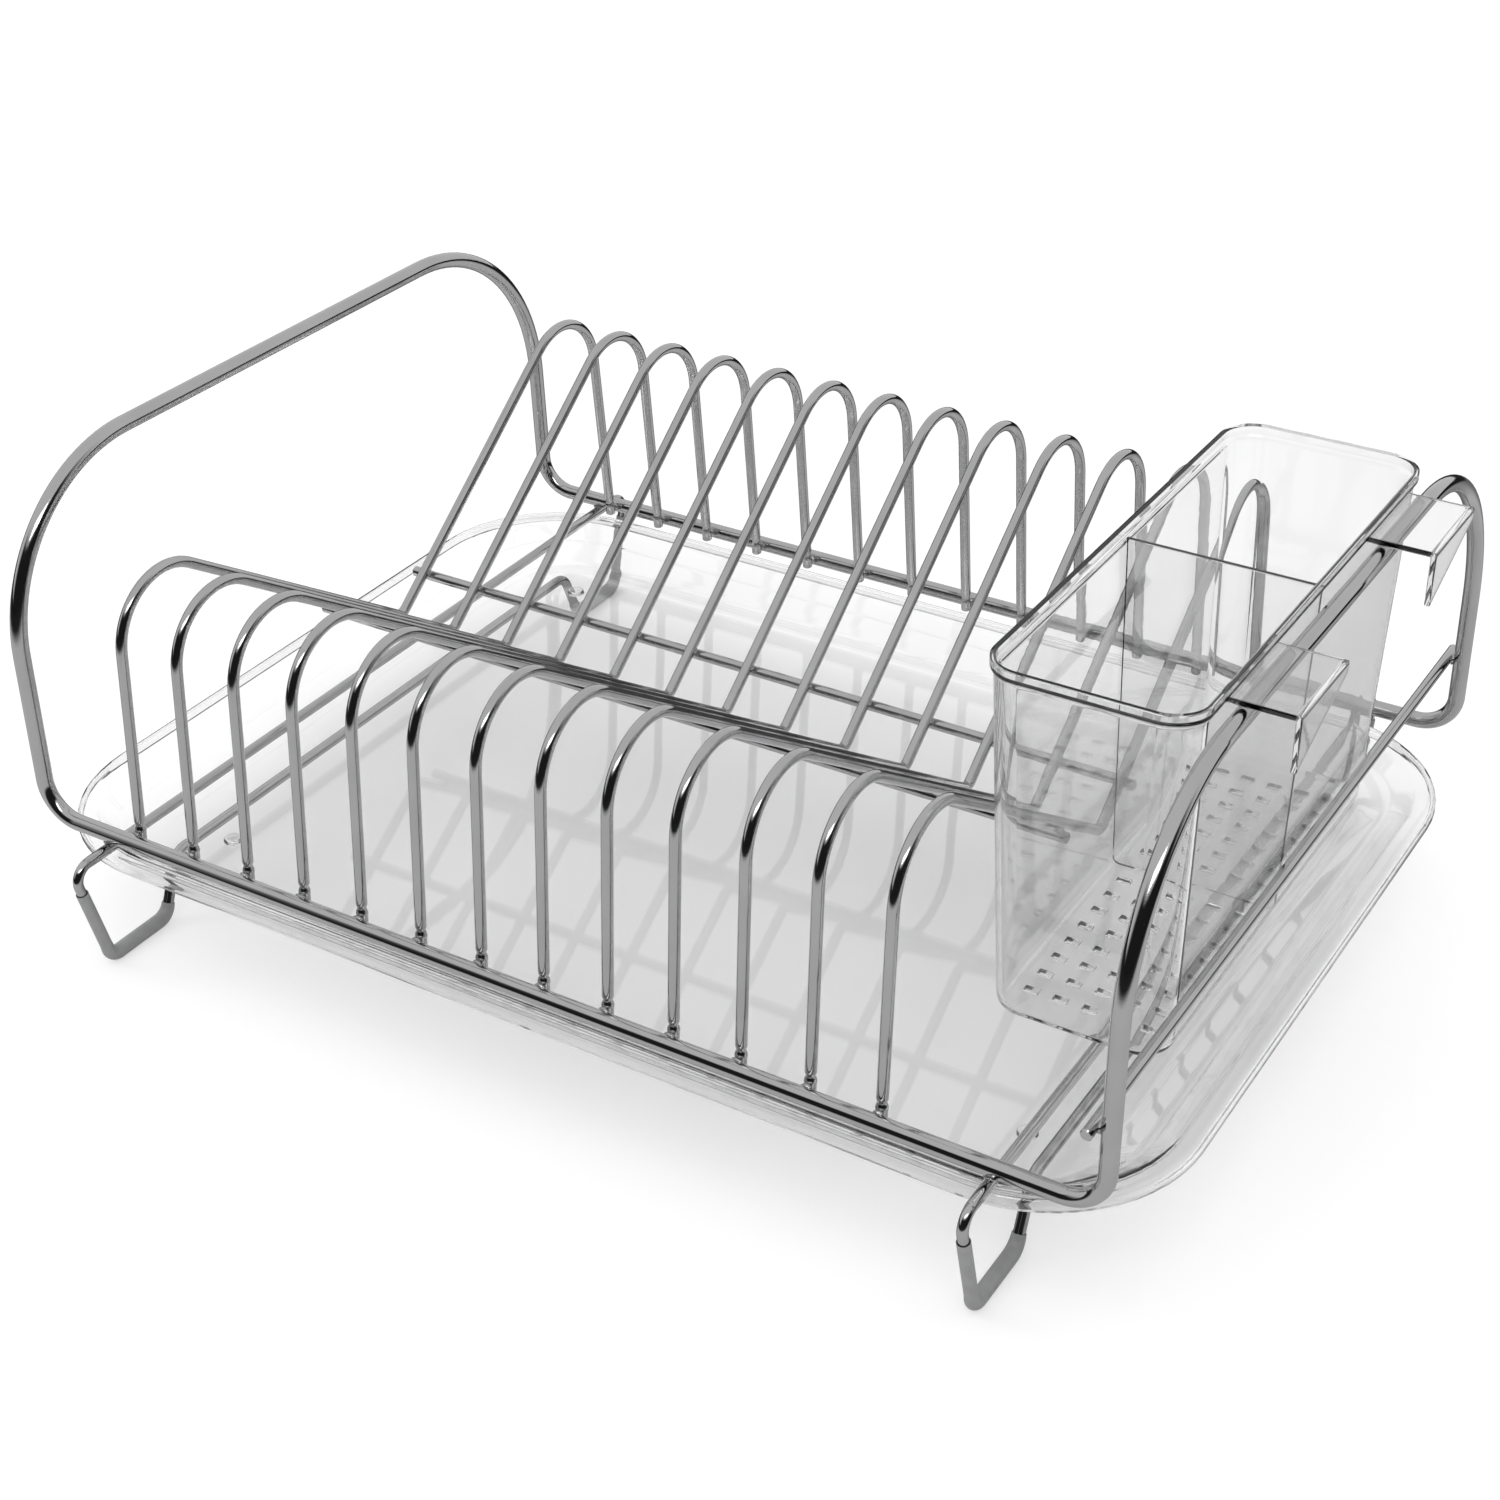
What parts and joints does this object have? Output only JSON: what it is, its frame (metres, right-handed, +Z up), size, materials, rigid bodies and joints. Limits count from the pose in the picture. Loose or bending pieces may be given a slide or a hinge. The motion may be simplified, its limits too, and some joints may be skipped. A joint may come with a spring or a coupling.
{
  "type": "dish drying rack",
  "caption": "Chromed wire dish rack with plate slots, end handles and vinyl-sleeved feet, with a clear drip tray and a clear hook-on cutlery caddy.",
  "frame": {"origin": "on the floor, under the middle of the overall box", "axes": "+X across the rack towards the caddy's end, +Y from the front arches to the rear hoops, +Z up"},
  "size_m": [0.45, 0.3482, 0.1878],
  "materials": {
    "chrome_wire": "polished chrome plating on steel wire",
    "foot_vinyl": "satin grey soft vinyl sleeve",
    "clear_tray": "clear glossy styrene, moulded",
    "clear_caddy": "clear glossy styrene, moulded"
  },
  "bodies": {
    "rack": {"frame_loop": "chrome_wire", "plate_wire_01": "chrome_wire", "plate_wire_02": "chrome_wire", "plate_wire_03": "chrome_wire", "plate_wire_04": "chrome_wire", "plate_wire_05": "chrome_wire", "plate_wire_06": "chrome_wire", "plate_wire_07": "chrome_wire", "plate_wire_08": "chrome_wire", "plate_wire_09": "chrome_wire", "plate_wire_10": "chrome_wire", "plate_wire_11": "chrome_wire", "plate_wire_12": "chrome_wire", "plate_wire_13": "chrome_wire", "front_slope_rod": "chrome_wire", "rear_slope_rod": "chrome_wire", "right_side_rail": "chrome_wire", "left_leg_ring": "chrome_wire", "right_leg_ring": "chrome_wire", "foot_sleeve_front_left": "foot_vinyl", "foot_sleeve_front_right": "foot_vinyl", "foot_sleeve_rear_left": "foot_vinyl", "foot_sleeve_rear_right": "foot_vinyl"},
    "tray": {"drip_tray": "clear_tray"},
    "caddy": {"cutlery_caddy": "clear_caddy"}
  },
  "joints": [
    {"name": "tray_slide", "type": "slide", "parent": "rack", "child": "tray", "axis": [1, 0, 0], "range_m": [-0.46, 0.46]},
    {"name": "caddy_lift", "type": "slide", "parent": "rack", "child": "caddy", "axis": [0, 0, 1], "range_m": [0, 0.14]}
  ]
}
